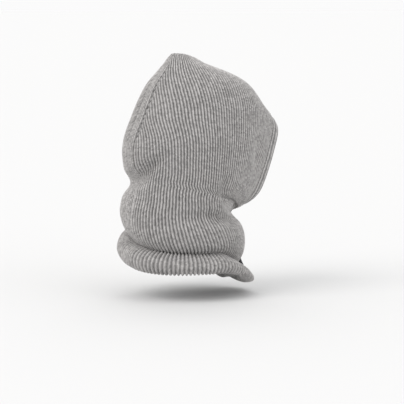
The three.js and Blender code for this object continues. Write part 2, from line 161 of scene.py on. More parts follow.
def vec(x: Array, y: Array, z: Array) -> Array:
    """Stacks three arrays of coordinates into one array of points."""
    return np.stack(np.broadcast_arrays(x, y, z), axis=-1).astype(float)


def bezier(points: tuple[Array, ...], count: int) -> Array:
    """Samples many cubic curves at once.

    Each curve is (1-t)^3 a + 3 (1-t)^2 t b + 3 (1-t) t^2 c + t^3 d.

    Args:
        points: the four control points, each (curves, 3).
        count: samples on each curve.

    Returns:
        Points (curves, count, 3).
    """
    t = np.linspace(0.0, 1.0, count)[None, :, None]
    a, b, c, d = (p[:, None, :] for p in points)
    return (1 - t) ** 3 * a + 3 * (1 - t) ** 2 * t * b + 3 * (1 - t) * t**2 * c + t**3 * d


def smooth_step(value: Array) -> Array:
    """Rises smoothly from 0 at 0 to 1 at 1, as 3t^2 - 2t^3."""
    t = np.clip(value, 0.0, 1.0)
    return t * t * (3 - 2 * t)


def travel(path: Array) -> Array:
    """Gives the length of a path of points up to each of them."""
    return np.concatenate([[0.0], np.cumsum(np.linalg.norm(np.diff(path, axis=0), axis=1))])


def read_along(wanted: Array, travelled: Array, values: Array) -> Array:
    """Reads vectors that are given along a path at wanted lengths along it."""
    return np.stack([np.interp(wanted, travelled, values[:, axis]) for axis in range(3)], axis=1)


def between(t: Array, low: float, high: float, first: Array,
            second: Array) -> Array:
    """Mixes two values in a straight line, from the first at t = low to the second at t = high."""
    return (high - t) / (high - low) * first + (t - low) / (high - low) * second


def catmull_rom(points: Array, spacing: float) -> Array:
    """Runs a centripetal Catmull-Rom curve through a few points and samples it evenly.

    Args:
        points: the points, (n, 3).
        spacing: the wanted distance between samples.

    Returns:
        Samples (m, 3), from the first point to the last.
    """
    ends = np.vstack([2 * points[0] - points[1], points, 2 * points[-1] - points[-2]])
    knots = np.concatenate([[0.0], np.cumsum(np.linalg.norm(np.diff(ends, axis=0), axis=1) ** 0.5)])
    pieces = []
    for i in range(1, len(ends) - 2):
        k, p = knots[i - 1:i + 3], ends[i - 1:i + 3]
        t = np.linspace(k[1], k[2], CURVE_STEPS, endpoint=False)[:, None]
        a = [between(t, k[j], k[j + 1], p[j], p[j + 1]) for j in range(3)]
        b = [between(t, k[j], k[j + 2], a[j], a[j + 1]) for j in range(2)]
        pieces.append(between(t, k[1], k[2], b[0], b[1]))
    fine = np.vstack([*pieces, points[-1:]])
    travelled = travel(fine)
    wanted = np.linspace(0.0, travelled[-1], max(int(round(travelled[-1] / spacing)), 2) + 1)
    return read_along(wanted, travelled, fine)


def uv_grid(across: Array, up: Array) -> Array:
    """Makes a UV pair for each point of a grid (n, m), from its columns' u and its rows' v."""
    return np.stack(np.broadcast_arrays(across, up[:, None]), axis=-1)


def make_piece(name: str, points: Array, uv: Array, rib: Array | float = 0.0, flips: bool = False,
               copies: int = 1) -> Piece:
    """Writes a grid of points into a smooth mesh object at the origin, in metres.

    Args:
        name: its name.
        points: the grid in millimetres, (n, m, 3).
        uv: a UV pair for each point, (n, m, 2).
        rib: the painted shade of the ribs' grooves, in a shape that spreads over (n, m).
        flips: whether the faces point the other way.
        copies: how many equal grids the rows hold, one after another.

    Returns:
        The object, with coinciding vertices merged.
    """
    rows, columns = points.shape[0] // copies, points.shape[1]
    left = np.arange(rows - 1)[:, None] * columns + np.arange(columns - 1)
    quads = np.stack([left, left + 1, left + columns + 1, left + columns], axis=-1).reshape(-1, 4)
    faces = (np.arange(copies)[:, None, None] * rows * columns + quads).reshape(-1, 4)
    faces = faces[:, ::-1] if flips else faces
    mesh = bpy.data.meshes.new(name)
    mesh.vertices.add(points.size // 3)
    mesh.vertices.foreach_set("co", (points * MM).astype(np.float32).ravel())
    mesh.loops.add(faces.size)
    mesh.loops.foreach_set("vertex_index", faces.astype(np.int32).ravel())
    mesh.polygons.add(len(faces))
    mesh.polygons.foreach_set("loop_start", np.arange(0, faces.size, 4, dtype=np.int32))
    mesh.polygons.foreach_set("use_smooth", np.ones(len(faces), dtype=bool))
    corners = uv.reshape(-1, 2)[faces.ravel()].astype(np.float32)
    mesh.uv_layers.new(name="knit").data.foreach_set("uv", corners.ravel())
    # The rib attribute carries painted shade: the materials darken the colour towards the ribs' grooves
    # with it.
    painted_shade = np.broadcast_to(rib, points.shape[:2]).astype(np.float32)
    mesh.attributes.new("rib", "FLOAT", "POINT").data.foreach_set("value", painted_shade.ravel())
    mesh.update(calc_edges=True)
    edit = bmesh.new()
    edit.from_mesh(mesh)
    bmesh.ops.remove_doubles(edit, verts=edit.verts, dist=MERGE_DISTANCE)
    edit.to_mesh(mesh)
    edit.free()
    mesh.update()
    piece = bpy.data.objects.new(name, mesh)
    bpy.context.scene.collection.objects.link(piece)
    return piece


@dataclass
class HoodForm:
    """The fabric's outer face as a function of a level up the table and a signed share round it.

    Each level is a half curve of two cubics, from the centre back past the widest point to the front,
    and the other half mirrors it. Shares run from 0 at the centre back to 1 at the front, positive on
    the hood's right side.
    """

    wales_per_half: int = 60
    strip_wales: float = 2.0
    strip_pitch: float = 4.2
    curve_samples: int = 90
    level_step: float = 0.02
    share_step: float = 0.004
    face_centre: Triple = (0.0, -105.0, -115.0)
    face_forward: Triple = (0.0, -0.98, -0.19)
    edge_turn_brim: float = 58.0
    edge_turn_chin: float = 30.0
    edge_turn_side: float = 24.0
    opening_half_width: float = 62.0
    rows: Array = field(init=False)
    chin_level: int = field(init=False)
    top_level: int = field(init=False)
    crease_level: int = field(init=False)

    def __post_init__(self) -> None:
        """Stacks the roll's sections and the table's."""
        roll = [self.roll_section(*ends, step) for *ends, steps in ROLL_ARCS for step in steps]
        self.rows = np.array([*roll, *NECK_AND_HEAD.values()], dtype=float)
        self.chin_level = len(roll) + list(NECK_AND_HEAD).index("chin")
        self.top_level = len(self.rows) - 1
        self.crease_level = len(roll)

    @staticmethod
    def roll_section(start: str, end: str, degrees: float) -> tuple[float, ...]:
        """Gives one section of the collar's roll, on a quarter arc from one ring to another.

        Args:
            start: the ring where the arc starts.
            end: the ring where it ends.
            degrees: how far along the arc the section lies.

        Returns:
            The section, in the order of COLUMNS.
        """
        angle = math.radians(degrees)
        grow, late = math.sin(angle), 1 - math.cos(angle)
        reach, height = (grow, late) if start == "bottom" else (late, grow)
        ring = {}
        for i, column in enumerate(RING_COLUMNS):
            share = height if column.endswith("_z") or column == "tilt" else reach
            ring[column] = ROLL_RINGS[start][i] + (ROLL_RINGS[end][i] - ROLL_RINGS[start][i]) * share
        return (ring["back_y"], ring["back_z"], ring["side_x"], ROLL_SIDE_Y, ring["side_z"], 0,
                ring["front_y"], ring["front_z"], 0, ring["tilt"], ROLL_SWAY, ROLL_BUNCH, 0)

    def sections(self, levels: Array) -> dict[str, Array]:
        """Runs a Catmull-Rom curve through each column of the table.

        Args:
            levels: places in the table, (n,).

        Returns:
            The columns by name, each (n,).
        """
        below = np.clip(np.floor(levels).astype(int), 0, self.top_level - 1)
        t = (levels - below)[:, None]
        a, b, c, d = (self.rows[np.clip(below + k, 0, self.top_level)] for k in (-1, 0, 1, 2))
        rows = 0.5 * (2 * b + (c - a) * t + (2 * a - 5 * b + 4 * c - d) * t**2
                      + (3 * b - a - 3 * c + d) * t**3)
        section = dict(zip(COLUMNS, rows.T))
        closed = levels <= self.chin_level
        for column in ("side_x", "front_x", "ended"):
            section[column] = np.maximum(section[column], 0.0)
        for column in ("front_x", "open"):
            section[column] = np.where(closed, 0.0, section[column])
        section["tilt"] = np.where(closed, section["tilt"], 0.0)
        return section

    def edge_direction(self, rim: Array) -> Array:
        """Gives the way the fabric runs at the face edge: forward, and in towards the face.

        Args:
            rim: points of the rim, (n, 3).

        Returns:
            Unit vectors (n, 3).
        """
        forward = unit(np.array(self.face_forward))
        inward = np.array(self.face_centre) - rim
        inward = unit(inward - (inward @ forward)[:, None] * forward)
        share = np.minimum(np.abs(rim[:, 0]) / self.opening_half_width, 1.0)
        middle = np.where(rim[:, 2] < self.face_centre[2], self.edge_turn_chin, self.edge_turn_brim)
        turn = np.radians(middle + (self.edge_turn_side - middle) * share)
        return np.cos(turn)[:, None] * forward + np.sin(turn)[:, None] * inward

    def half_curves(self, section: dict[str, Array]) -> tuple[Array, Array]:
        """Samples each section's half curve, two cubics that meet at the widest point.

        Args:
            section: the columns from sections().

        Returns:
            Points (n, samples, 3), and the length up to each, (n, samples).
        """
        back = vec(0.0, section["back_y"], section["back_z"])
        side = vec(section["side_x"], section["side_y"], section["side_z"])
        front = vec(section["front_x"], section["front_y"], section["front_z"])
        behind = section["back_y"] - section["side_y"]
        ahead = section["side_y"] - section["front_y"]
        rise = (section["side_z"] - section["back_z"]) / behind
        fall = (section["front_z"] - section["side_z"]) / ahead
        even = rise * fall > 0
        slope = np.where(even, 2 * rise * fall / np.where(even, rise + fall, 1.0), 0.0)
        along = vec(0.0, -1.0, slope)
        across = vec(KAPPA * section["side_x"], 0.0, 0.0)
        edge = self.edge_direction(front) * (-EDGE_HANDLE * KAPPA * ahead)[:, None]
        opening = section["open"][:, None]
        last = front + across * (1 - opening) + edge * opening
        first = bezier((back, back + across, side - along * (KAPPA * behind)[:, None], side),
                       self.curve_samples)
        second = bezier((side, side + along * (KAPPA * ahead)[:, None], last, front),
                        self.curve_samples)
        curve = np.concatenate([first, second[:, 1:]], axis=1)
        steps = np.linalg.norm(np.diff(curve, axis=1), axis=2)
        return curve, np.concatenate([np.zeros((len(curve), 1)), np.cumsum(steps, axis=1)], axis=1)

    def shares(self, section: dict[str, Array], length: Array,
               wales: Array) -> Array:
        """Says where ribs lie in their sections, from -1 to 1.

        The centre-back strip keeps its own pitch, the side panel's ribs stop at the decrease line, and
        the rest spread over what is left, gathered by bunch and carried forward by sway.

        Args:
            section: the columns from sections().
            length: the half curves' lengths, (n,).
            wales: signed rib numbers, (m,).

        Returns:
            Signed shares (n, m).
        """
        count = np.abs(wales)[None, :]
        bunch, ended = section["bunch"][:, None], section["ended"][:, None]
        pitch = (1 + bunch) * length[:, None] / self.wales_per_half
        strip = self.strip_wales * np.minimum(pitch, self.strip_pitch) / length[:, None]
        left = self.wales_per_half - self.strip_wales - ended
        t = np.maximum((count - self.strip_wales - ended) / left, 0.0)
        share = strip + (1 - strip) * ((1 + bunch) * t - bunch * t**3)
        share = share + section["sway"][:, None] * 4 * share * (1 - share)
        share = np.where(count <= self.strip_wales, strip * count / self.strip_wales, share)
        return np.sign(wales)[None, :] * share

    def plain(self, levels: Array, shares: Array) -> Array:
        """Gives points of the fabric before its folds.

        Args:
            levels: places in the table, (n,).
            shares: signed shares, (n, m). Past 1 a closed section carries on round.

        Returns:
            Points (n, m, 3).
        """
        section = self.sections(levels)
        curve, travelled = self.half_curves(section)
        closed = (levels <= self.chin_level)[:, None]
        wrapped = np.where(shares > 1, shares - 2, np.where(shares < -1, shares + 2, shares))
        signed = np.where(closed, wrapped, np.clip(shares, -1, 1))
        reach = travelled / travelled[:, -1:]
        offset = 2.0 * np.arange(len(levels))[:, None]
        wanted = np.abs(signed)
        found = np.searchsorted((reach + offset).ravel(), (wanted + offset).ravel(), side="right") - 1
        row = np.repeat(np.arange(len(levels)), shares.shape[1])
        index = np.clip(found - row * reach.shape[1], 0, reach.shape[1] - 2)
        low, high = reach[row, index], reach[row, index + 1]
        t = ((wanted.ravel() - low) / np.maximum(high - low, TINY))[:, None]
        points = (curve[row, index] * (1 - t) + curve[row, index + 1] * t).reshape(*shares.shape, 3)
        points[..., 0] *= np.where(signed > 0, -1.0, 1.0)
        points[..., 2] += section["tilt"][:, None] * points[..., 0]
        return points

    def surface(self, levels: Array,
                wales: Array) -> tuple[Array, Array, Array]:
        """Gives the fabric's outer face without its ribs.

        The outward direction is the cross product of the ways round and up, and the folds press the
        points in along it.

        Args:
            levels: places in the table, (n,).
            wales: signed rib numbers, (m,).

        Returns:
            Points and outward unit vectors (n, m, 3), and the ribs' local pitch, (n, m).
        """
        section = self.sections(levels)
        length = self.half_curves(section)[1][:, -1]
        shares = self.shares(section, length, wales)
        ahead = self.plain(levels, shares + self.share_step)
        round_way = ahead - self.plain(levels, shares - self.share_step)
        over = np.minimum(levels + self.level_step, self.top_level)
        under = np.maximum(levels - self.level_step, 0.0)
        rise = self.plain(over, shares) - self.plain(under, shares)
        outward = unit(np.cross(round_way, rise))
        at_seam = levels >= self.top_level
        outward[at_seam] = (0.0, 0.0, 1.0)
        points = self.plain(levels, shares)
        points = points - outward * fold_depth(points)[..., None]
        pitch = np.abs(np.gradient(shares, wales, axis=1)) * length[:, None]
        return points, outward, pitch


def fold_depth(points: Array) -> Array:
    """Adds up how deep the folds press the fabric in.

    Each fold's depth falls off as exp(-(distance / width)^2) from its line, and fades towards the
    line's ends as sin(pi u), where u is the share of the line's length at the nearest place.

    Args:
        points: places on the fabric, (..., 3).

    Returns:
        Depths in millimetres, (...).
    """
    depth = np.zeros(points.shape[:-1])
    for fold in FOLDS:
        at = points.copy()
        if fold.sides is Sides.BOTH:
            at[..., 0] = -np.abs(at[..., 0])
        nearest = np.full(depth.shape, np.inf)
        place = np.zeros(depth.shape)
        line = np.array(fold.line, dtype=float)
        lengths = np.linalg.norm(np.diff(line, axis=0), axis=1)
        for i, (start, end) in enumerate(zip(line[:-1], line[1:])):
            span = end - start
            t = np.clip((at - start) @ span / (span @ span), 0.0, 1.0)
            distance = np.linalg.norm(at - start - t[..., None] * span, axis=-1)
            closer = distance < nearest
            nearest = np.where(closer, distance, nearest)
            place = np.where(closer, (lengths[:i].sum() + t * lengths[i]) / lengths.sum(), place)
        depth += fold.depth * np.exp(-((nearest / fold.width) ** 2)) * np.sin(np.pi * place)
    return depth


# How many levels, and at which ribs, the distance up the fabric is measured
LEVEL_SAMPLES = 240
LEVEL_WALES = np.linspace(-58, 58, 13)


@dataclass
class HoodShell:
    """The knitted shell: collar roll, neck tube, head and inner wall, all with their ribs."""

    form: HoodForm
    wall: float = 3.6
    rib_columns: int = 6
    inner_columns: int = 4
    relief_share: float = 0.3
    least_relief: float = 0.4
    most_relief: float = 1.6
    groove_sharpness: float = 1.5
    inner_relief: float = 0.7
    line_start: float = 0.6
    line_wales: float = 0.9
    eyelet_depth: float = 2.3
    eyelet_sharpness: float = 3.0
    shade_fade_pitch: float = 3.6
    seam_depth: float = 1.6
    seam_levels: float = 0.12
    seam_fade: float = 0.16
    course_height: float = 2.7
    roll_rows: int = 56
    neck_rows: int = 62
    head_rows: int = 130
    inner_rows: int = 90
    hem_steps: int = 6
    hem_look_ahead: float = 0.05
    rim_step: float = 0.01
    crease_margin: float = 0.5

    def wales(self, columns: int) -> Array:
        """Numbers the whole round's rib places, from the left face edge to the right one."""
        half = self.form.wales_per_half
        return np.linspace(-half, half, 2 * half * columns + 1)

    def levels(self, low: float, high: float, rows: int) -> Array:
        """Spreads rows evenly by the mean distance up the fabric between two levels."""
        fine = np.linspace(low, high, LEVEL_SAMPLES)
        points = self.form.surface(fine, LEVEL_WALES)[0]
        steps = np.linalg.norm(np.diff(points, axis=0), axis=2).mean(axis=1)
        travelled = np.concatenate([[0.0], np.cumsum(steps)])
        return np.interp(np.linspace(0, travelled[-1], rows), travelled, fine)

    def rib(self, levels: Array, wales: Array) -> Array:
        """Gives the ribs' profile, from -1 in a groove to 1 on a crest.

        A rib is 1 - 2 (0.5 + 0.5 cos 2 pi w)^k, with its grooves at whole numbers w. It sinks where it
        ends on the decrease line, which has an eyelet for each rib that ends, as a power of the cosine
        of the count of ended ribs. Every rib sinks where it meets the top seam.
        """
        wave = 1 - 2 * (0.5 + 0.5 * np.cos(2 * np.pi * wales)) ** self.groove_sharpness
        count = np.abs(wales)[None, :]
        ended = self.form.sections(levels)["ended"][:, None]
        line = smooth_step(ended / self.line_start)
        grown = 1 - line * (1 - smooth_step((count - self.form.strip_wales - ended) / self.line_wales))
        grown = np.where(count <= self.form.strip_wales, 1.0, grown)
        eyelet = (0.5 + 0.5 * np.cos(2 * np.pi * ended)) ** self.eyelet_sharpness
        floor = -self.eyelet_depth * eyelet * line
        near_seam = smooth_step((self.form.top_level - levels) / self.seam_fade)[:, None]
        return -1 + (floor + 1 + (wave[None, :] - floor) * grown) * near_seam

    def face(self, levels: Array, wales: Array, inside: bool = False) -> tuple[Array, Array]:
        """Gives the ribbed outer face, or the inner one, whose ribs stand in the outer one's grooves.

        Args:
            levels: places in the form's table, (n,).
            wales: signed rib numbers, (m,).
            inside: whether it is the inner face.

        Returns:
            Points (n, m, 3), and the painted shade of the ribs' grooves, (n, m), which is fainter
            where the outer ones are stretched apart.
        """
        points, outward, pitch = self.form.surface(levels, wales)
        profile = self.rib(levels, wales)
        share = self.relief_share * (self.inner_relief if inside else 1.0)
        relief = np.clip(share * pitch, self.least_relief, self.most_relief)
        below = (self.form.top_level - levels) / self.seam_levels
        sunk = self.wall if inside else self.seam_depth * np.exp(-(below**2))[:, None]
        # The painted groove shade fades where the outer ribs are stretched apart, and inside it follows
        # the inner ribs.
        shade_fade = np.clip(self.shade_fade_pitch / np.maximum(pitch, TINY), 0.0, 1.0)
        points = points + outward * (relief * profile - sunk)[..., None]
        points[levels >= self.form.top_level, :, 0] = 0.0
        return points, -profile if inside else profile * shade_fade

    def uvs(self, points: Array, wales: Array, start: float) -> tuple[Array, float]:
        """Counts ribs across and courses up, so that one UV unit is one stitch.

        Args:
            points: the grid, (n, m, 3).
            wales: signed rib numbers, (m,).
            start: the number of the first row's course.

        Returns:
            UV pairs (n, m, 2), and the number of the last row's course.
        """
        steps = np.linalg.norm(np.diff(points, axis=0), axis=2).mean(axis=1) / self.course_height
        courses = start + np.concatenate([[0.0], np.cumsum(steps)])
        return uv_grid(wales, courses), float(courses[-1])

    def piece(self, name: str, low: float, high: float, rows: int, course: float = 0.0,
              inside: bool = False) -> tuple[Piece, float]:
        """Makes one stretch of the outer or the inner face.

        Args:
            name: its name.
            low: the level where it starts.
            high: the level where it ends.
            rows: its rows of vertices.
            course: the number of the first row's course.
            inside: whether it is of the inner face.

        Returns:
            The piece, and the number of the last row's course.
        """
        wales = self.wales(self.inner_columns if inside else self.rib_columns)
        points, painted_shade = self.face(self.levels(low, high, rows), wales, inside)
        uv, last = self.uvs(points, wales, course)
        return make_piece(name, points, uv, painted_shade, flips=inside), last

    def hem_edge(self) -> Piece:
        """Makes the rounded cast-off edge that joins the outer face to the inner one at the hem.

        The edge is a half circle from one face to the other, which bulges down the fabric.
        """
        wales = self.wales(self.rib_columns)
        low = np.array([0.0])
        outer, painted_shade = self.face(low, wales)
        inner, _ = self.face(low, wales, inside=True)
        ahead = self.form.surface(low + self.hem_look_ahead, wales)[0] - self.form.surface(low, wales)[0]
        down = -unit(ahead)[0]
        turn = np.linspace(0, np.pi, self.hem_steps)[:, None, None]
        middle, arm = (outer[0] + inner[0]) / 2, (outer[0] - inner[0]) / 2
        points = middle + arm * np.cos(turn) + down * np.sin(turn) * self.wall / 2
        uv, _ = self.uvs(points, wales, 0.0)
        return make_piece("collar_hem", points, uv, painted_shade, flips=True)

    def rim_edge(self, side: float) -> Piece:
        """Makes the cut edge of one side of the face opening, which the casing folds over."""
        levels = self.levels(self.form.chin_level, self.form.top_level, self.head_rows)
        wales = side * (self.form.wales_per_half - np.array([self.rim_step, 0.0]))
        edges = [self.face(levels, wales, inside)[0][:, 1] for inside in (False, True)]
        points = np.stack(edges, axis=1)
        uv, _ = self.uvs(points, np.array([0.0, 0.5]), 0.0)
        name = "rim_right" if side > 0 else "rim_left"
        return make_piece(name, points, uv, flips=side < 0)

    def build(self) -> list[Piece]:
        """Makes every piece of the shell, from the collar's hem up to the top seam."""
        chin, top = self.form.chin_level, self.form.top_level
        crease = self.form.crease_level - self.crease_margin
        roll, course = self.piece("collar_roll", 0.0, crease, self.roll_rows)
        neck, course = self.piece("neck_tube", crease, chin, self.neck_rows, course)
        head, _ = self.piece("head_shell", chin, top, self.head_rows, course)
        hem = self.hem_edge()
        inner_neck, _ = self.piece("inner_neck", 0.0, chin, self.inner_rows, inside=True)
        inner_head, _ = self.piece("inner_head", chin, top, self.inner_rows, inside=True)
        rims = [self.rim_edge(1.0), self.rim_edge(-1.0)]
        return [roll, neck, head, hem, inner_neck, inner_head, *rims]


@dataclass
class FaceCasing:
    """The folded casing round the face opening, with its row of stitches."""

    form: HoodForm
    width: float = 20.0
    thickness: float = 10.0
    wall: float = 1.8
    drop: float = 4.2
    rim_gap: float = 2.6
    back_reach: float = 3.6
    mouth_half_gap: float = 9.0
    ring_spacing: float = 2.6
    ribs_round: int = 11
    rib_columns: int = 6
    rib_relief: float = 0.55
    stitch_length: float = 2.6
    stitch_pitch: float = 4.0
    stitch_radius: float = 0.42
    stitch_rings: int = 7
    stitch_sides: int = 8
    stitch_inset: float = 0.6
    stitch_lift: float = 0.9
    stitch_bow: float = 0.55
    stitch_blunt: float = 0.03
    squareness: float = 0.75
    course_height: float = 2.7
    rim_samples: int = 500
    rim_step: float = 0.1

    def rim_frames(self) -> tuple[Array, Array, Array, Array]:
        """Walks the face edge from the right mouth over the brim to the left mouth.

        Returns:
            Rim points, the way along, forward and outward, each (n, 3).
        """
        levels = np.linspace(self.form.chin_level, self.form.top_level, self.rim_samples)
        edge = self.form.wales_per_half - np.array([self.rim_step, 0.0])
        rim = self.form.surface(levels, edge)[0][:, 1]
        rim[-1, 0] = 0.0
        steps = travel(rim)
        mouth = steps[np.argmax(-rim[:, 0] >= self.mouth_half_gap)]
        count = int(round((steps[-1] - mouth) / self.ring_spacing))
        wanted = np.linspace(mouth, steps[-1], count)
        right = read_along(wanted, steps, rim)
        left = (right * (-1, 1, 1))[-2::-1]
        path = np.concatenate([right, left])
        along = unit(np.gradient(path, axis=0))
        forward = self.form.edge_direction(path)
        forward = unit(forward - np.sum(forward * along, axis=1, keepdims=True) * along)
        return path, along, forward, unit(np.cross(forward, along))

    def centre_line(self, frames: tuple[Array, ...]) -> Array:
        """Gives the middle of the channel, where the drawcord runs, from the rim's frames."""
        rim, _, forward, outward = frames
        return rim + forward * (self.width / 2 + self.rim_gap) - outward * self.drop

    def section(self, frames: tuple[Array, ...], angles: Array, inset: float,
                relief: Array) -> Array:
        """Sweeps a flattened round section, longer at the back, where it meets the fabric's rim.

        Args:
            frames: the rim's points and directions.
            angles: places round the section, (m,), from the front edge over the outside.
            inset: how far the section lies inside the casing's face.
            relief: what stands proud of it at each angle, (m,).

        Returns:
            Points (n, m, 3).
        """
        _, _, forward, outward = frames
        centre = self.centre_line(frames)
        across = np.sign(np.cos(angles)) * np.abs(np.cos(angles)) ** self.squareness
        up = np.sign(np.sin(angles)) * np.abs(np.sin(angles)) ** self.squareness
        reach = self.width / 2 - inset + relief + np.where(across < 0, self.back_reach, 0.0)
        rise = self.thickness / 2 - inset + relief
        return (centre[:, None] + forward[:, None] * (reach * across)[None, :, None]
                + outward[:, None] * (rise * up)[None, :, None])

    def channel(self) -> Piece:
        """Makes the ribbed outside, the channel inside and the two mouths as one closed wall."""
        frames = self.rim_frames()
        columns = self.ribs_round * self.rib_columns
        angles = np.linspace(0, 2 * np.pi, columns + 1)
        wave = -np.cos(self.ribs_round * angles)
        outside = self.section(frames, angles, 0.0, self.rib_relief * (wave - 1) / 2)
        inside = self.section(frames, angles, self.wall, np.zeros_like(angles))
        lip = (outside + inside) / 2
        along = frames[1][:, None]
        first, last = lip[:1] - along[:1] * self.wall / 3, lip[-1:] + along[-1:] * self.wall / 3
        points = np.concatenate([inside[:1], first, outside, last, inside[::-1]])
        ribs = angles / (2 * np.pi) * self.ribs_round
        courses = np.arange(len(points)) * self.ring_spacing / self.course_height
        # The wave also paints shade into the casing's grooves through the rib attribute.
        return make_piece("casing", points, uv_grid(ribs, courses), wave, flips=True)

    def stitches(self) -> Piece:
        """Makes the row of short stitches that holds the casing, each a bowed capsule of thread."""
        rim, _, forward, outward = self.rim_frames()
        travelled = travel(rim)
        count = int(travelled[-1] / self.stitch_pitch)
        centres = (np.arange(count) + 0.5) * travelled[-1] / count
        ends = np.linspace(-0.5, 0.5, self.stitch_rings)
        sides = np.linspace(0, 2 * np.pi, self.stitch_sides + 1)
        place = (centres[:, None] + ends * self.stitch_length).ravel()
        rim, forward, outward = (read_along(place, travelled, v) for v in (rim, forward, outward))
        bow = np.tile(1 - (2 * ends) ** 2, count)[:, None]
        lift = self.stitch_lift + self.stitch_bow * bow
        middle = rim - forward * self.stitch_inset + outward * lift
        radius = self.stitch_radius * np.sqrt(np.clip(bow + self.stitch_blunt, 0, 1))
        up, across = unit(outward), unit(forward)
        points = (middle[:, None] + up[:, None] * (radius * np.cos(sides))[..., None]
                  + across[:, None] * (radius * np.sin(sides))[..., None])
        return make_piece("casing_stitches", points, uv_grid(sides, place), copies=count)

    def build(self) -> list[Piece]:
        """Makes the casing and its stitches."""
        return [self.channel(), self.stitches()]


CORD_ROUTES = {
    "right": (
        (-5.2, -89.3, -200.8), (-3.6, -89.3, -201.6), (-2.6, -88.4, -205), (-2.4, -85.8, -209.5),
        (-2.2, -83.2, -214.5), (-1.9, -84.2, -219), (-1.3, -89.4, -224.5), (-0.6, -94.8, -232),
        (0, -98, -243), (0, -99.4, -260), (-0.3, -101.6, -279), (0, -104.8, -291),
        (0.4, -109.4, -300), (0.5, -112.6, -308),
    ),
    "left": (
        (5.2, -89.3, -200.8), (3.7, -89.3, -201.6), (3.1, -88.4, -205), (3.8, -85.8, -209.5),
        (4.9, -83.4, -214.5), (5.8, -84.6, -219), (6.7, -90.2, -224.5), (7.5, -96, -232),
        (8, -100, -243), (8.3, -103.4, -260), (8.2, -105.4, -277), (8.6, -108.6, -290),
        (9.3, -112.8, -300), (9.8, -115.6, -309),
    ),
}


# How the cord leads into the knot from above and out of it below, and how the knot's loop is sampled
KNOT_LEAD_IN = ((0.0, 0.0, -0.4), (0.3, 0.1, -2.0))
KNOT_LEAD_OUT = (0.2, -0.1, -0.5)
KNOT_STEPS = 60
KNOT_STRIDE = 4


@dataclass
class Drawcord:
    """The braided drawcord: the run in the casing, and two free ends with a knot on each."""

    casing: FaceCasing
    diameter: float = 4.0
    sides: int = 24
    spacing: float = 0.9
    strands: int = 8
    braid_pitch: float = 7.0
    braid_relief: float = 0.16
    knot_radius: float = 2.7
    knot_swing: float = 1.35
    knot_lift: float = 1.7
    knot_cord: float = 1.75
    knot_below: float = 5.6
    knot_opening: float = 0.42
    knot_spacing: float = 0.5
    tail: float = 5.0
    cap_share: float = 0.7

    def tube(self, name: str, path: Array, radius: float) -> Piece:
        """Sweeps a braided round section along a path.

        The face stands proud by cos(n a + k s) cos(n a - k s), two sets of crossing strands.

        Args:
            name: the piece's name.
            path: the ring centres in millimetres, (n, 3).
            radius: the cord's radius.

        Returns:
            The closed tube.
        """
        along = unit(np.gradient(path, axis=0))
        across = unit(np.cross(along, (0.0, 1.0, 0.0)))
        other = np.cross(along, across)
        travelled = travel(path)
        angles = np.linspace(0, 2 * np.pi, self.sides + 1)
        turn = 2 * np.pi * travelled[:, None] / self.braid_pitch
        half = self.strands / 2
        braid = np.cos(half * angles + turn) * np.cos(half * angles - turn)
        reach = radius + self.braid_relief * (braid - 0.5)
        ring = (across[:, None] * (reach * np.cos(angles))[..., None]
                + other[:, None] * (reach * np.sin(angles))[..., None])
        points = path[:, None] + ring
        caps = [path[:1, None] + ring[:1] * share for share in (0.0, self.cap_share)]
        ends = [path[-1:, None] + ring[-1:] * share for share in (self.cap_share, 0.0)]
        points = np.concatenate([*caps, points, *ends])
        v = np.concatenate([[0.0, 0.0], travelled, [travelled[-1]] * 2]) / self.diameter
        u = angles / (2 * np.pi) * self.strands
        # The braid also paints shade between the strands through the rib attribute.
        painted_shade = np.concatenate([braid[:1], braid[:1], braid, braid[-1:], braid[-1:]])
        return make_piece(name, points, uv_grid(u, v), painted_shade, flips=True)

    def knot_path(self, end: Array) -> Array:
        """Ties an overhand knot: a trefoil that is opened at one lobe, with its ends led up and down.

        Args:
            end: the lowest point of the cord above the knot.

        Returns:
            The knot's centre line, (n, 3), from the top to the tail's tip.
        """
        last = 2 * np.pi - self.knot_opening
        turn = np.linspace(self.knot_opening, last, KNOT_STEPS)[::KNOT_STRIDE]
        reach = self.knot_radius + self.knot_swing * np.cos(3 * turn)
        loop = np.stack([reach * np.cos(2 * turn), self.knot_lift * np.sin(3 * turn),
                         -reach * np.sin(2 * turn)], axis=1)
        below = np.array((0.0, 0.0, self.knot_below))
        top = np.array(KNOT_LEAD_IN) + below
        tip = np.array([KNOT_LEAD_OUT, (0.0, 0.0, -self.tail)]) - below
        return end - below + catmull_rom(np.concatenate([top, loop, tip]), self.knot_spacing)

    def build(self) -> list[Piece]:
        """Makes the run, the free ends and the knots, and hides the imported cord and knots."""
        hidden = self.casing.centre_line(self.casing.rim_frames())[1:-1]
        run = self.tube("cord_run", hidden, self.diameter / 2)
        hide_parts("drawcord_run")
        pieces = [run]
        for side, route in CORD_ROUTES.items():
            path = catmull_rom(np.array(route, dtype=float), self.spacing)
            cord = self.tube(f"cord_{side}", path, self.diameter / 2)
            knot = self.tube(f"knot_{side}", self.knot_path(path[-1]), self.knot_cord)
            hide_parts(f"drawcord_{side}")
            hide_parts(f"cord_knot_{side}")
            pieces += [cord, knot]
        return pieces


def feed(tree: Tree, node: bpy.types.Node, inputs: dict) -> None:
    """Fills a node's inputs.

    Args:
        tree: the node tree.
        node: the node.
        inputs: a socket to link or a value to set, by the input's name or number.
    """
    for key, value in inputs.items():
        if isinstance(value, bpy.types.NodeSocket):
            tree.links.new(value, node.inputs[key])
        else:
            node.inputs[key].default_value = value


